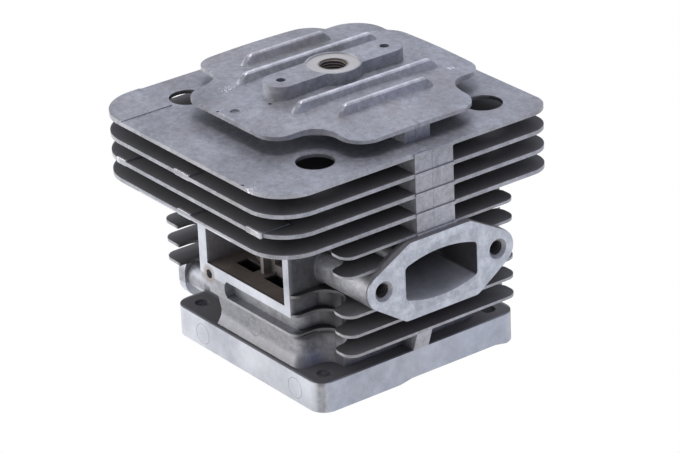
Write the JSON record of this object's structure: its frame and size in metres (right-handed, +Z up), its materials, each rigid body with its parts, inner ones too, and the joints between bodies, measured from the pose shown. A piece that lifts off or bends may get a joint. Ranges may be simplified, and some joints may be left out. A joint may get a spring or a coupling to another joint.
{
  "type": "air-cooled two-stroke engine cylinder",
  "caption": "Air-cooled two-stroke engine cylinder with integral head, cooling fins, exhaust and intake flanges, transfer boxes and a square bolted base.",
  "frame": {"origin": "bore axis at the gasket face of the base flange", "axes": "+Z up the bore, +X towards the exhaust flange, -Y towards the open transfer box in view"},
  "size_m": [0.11, 0.1148, 0.1013],
  "materials": {
    "cast_aluminium": "matte grey as-cast aluminium, pale at machined faces"
  },
  "bodies": {
    "root": {"cylinder_casting": "cast_aluminium"}
  },
  "joints": []
}
